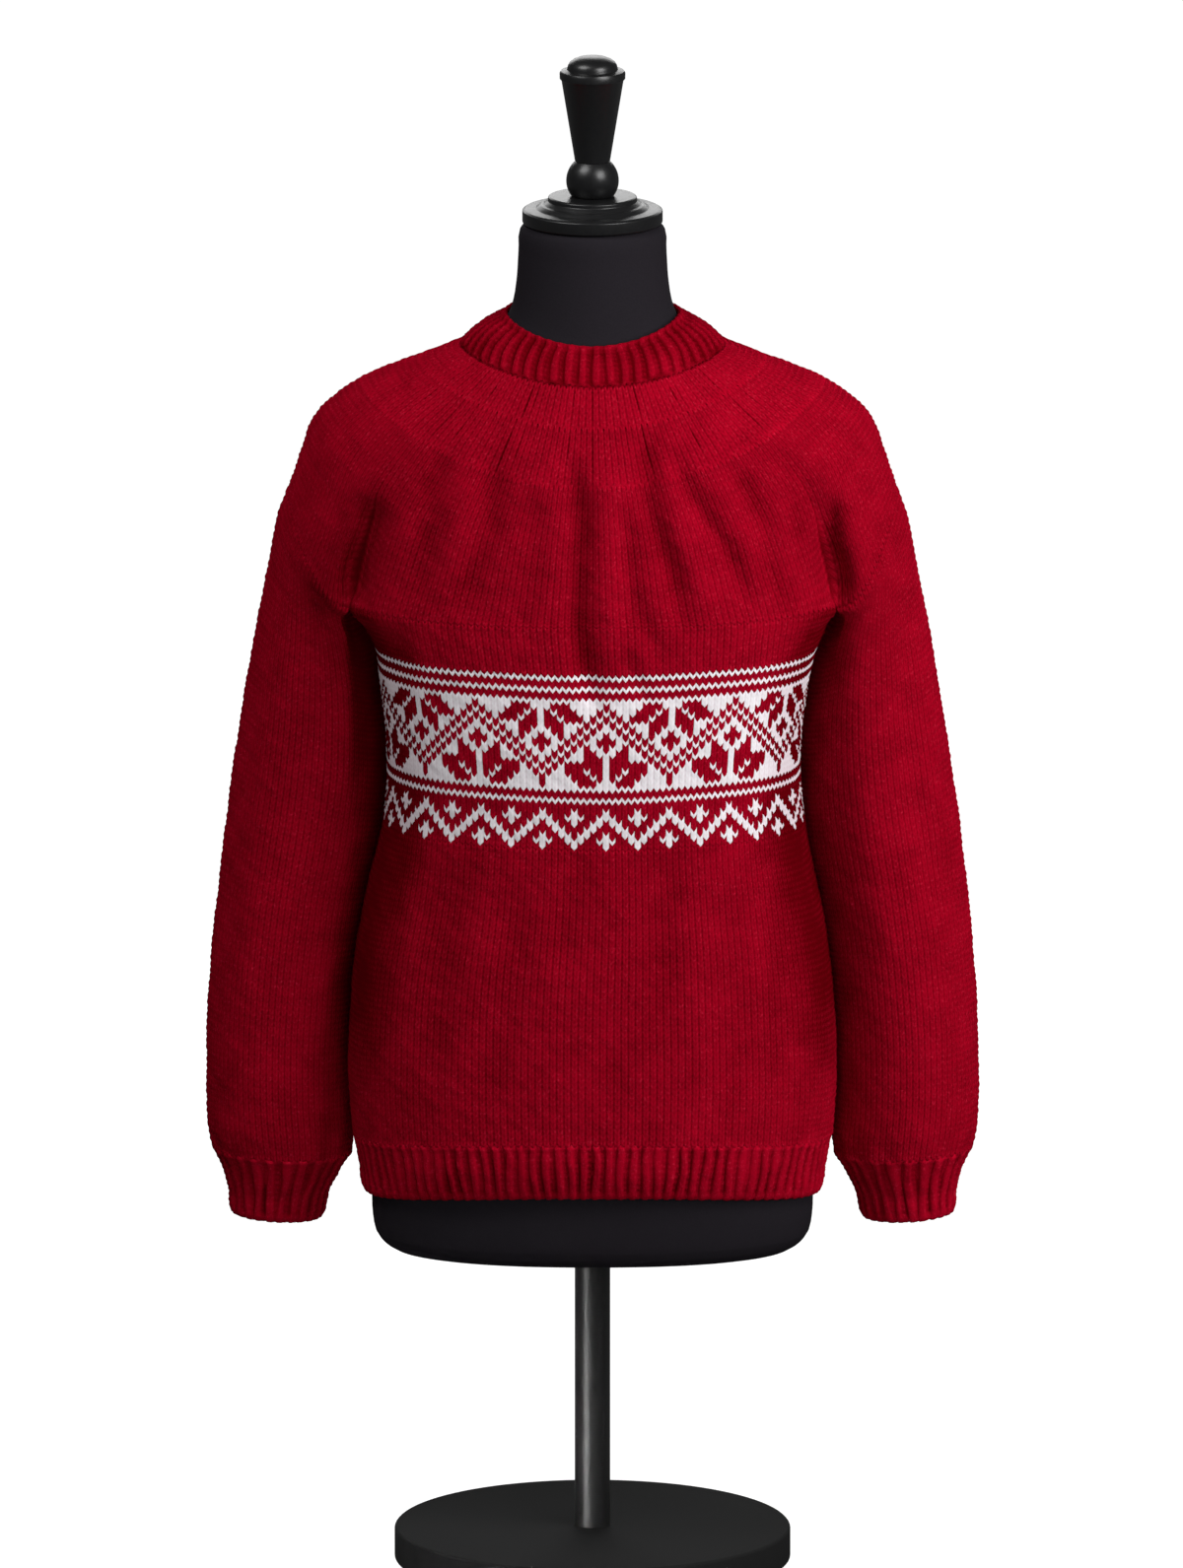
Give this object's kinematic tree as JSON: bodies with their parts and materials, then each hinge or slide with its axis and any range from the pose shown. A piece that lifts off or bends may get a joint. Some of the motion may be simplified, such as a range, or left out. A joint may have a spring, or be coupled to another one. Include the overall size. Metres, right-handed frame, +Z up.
{
  "type": "nordic yoke sweater on a dress form with a disc stand",
  "caption": "Long-sleeved round-yoke sweater in red wool with a white nordic band, ribbed neck, cuffs and hem, worn by a black limbless dress form on a pole and disc base.",
  "frame": {"origin": "on the floor under the middle of the disc base, which is also the middle of the part's box", "axes": "+Z up, the sweater's front faces -Y, +X towards the sleeve on the right in a view of the front"},
  "size_m": [0.589, 0.302, 1.169],
  "materials": {
    "red_wool": "matt red wool, stocking stitch and one-by-one rib",
    "black_jersey": "matt black jersey stretched over the form",
    "black_wood": "black lacquered turned wood, satin",
    "pole_metal": "black satin paint on steel tube",
    "base_metal": "black matt powder coat"
  },
  "bodies": {
    "root": {"yoke": "red_wool", "body": "red_wool", "hem_rib": "red_wool", "neckband": "red_wool", "sleeve_right": "red_wool", "sleeve_left": "red_wool", "cuff_right": "red_wool", "cuff_left": "red_wool", "form_torso": "black_jersey", "neck_cap": "black_wood", "finial": "black_wood", "pole": "pole_metal", "base": "base_metal"}
  },
  "joints": []
}
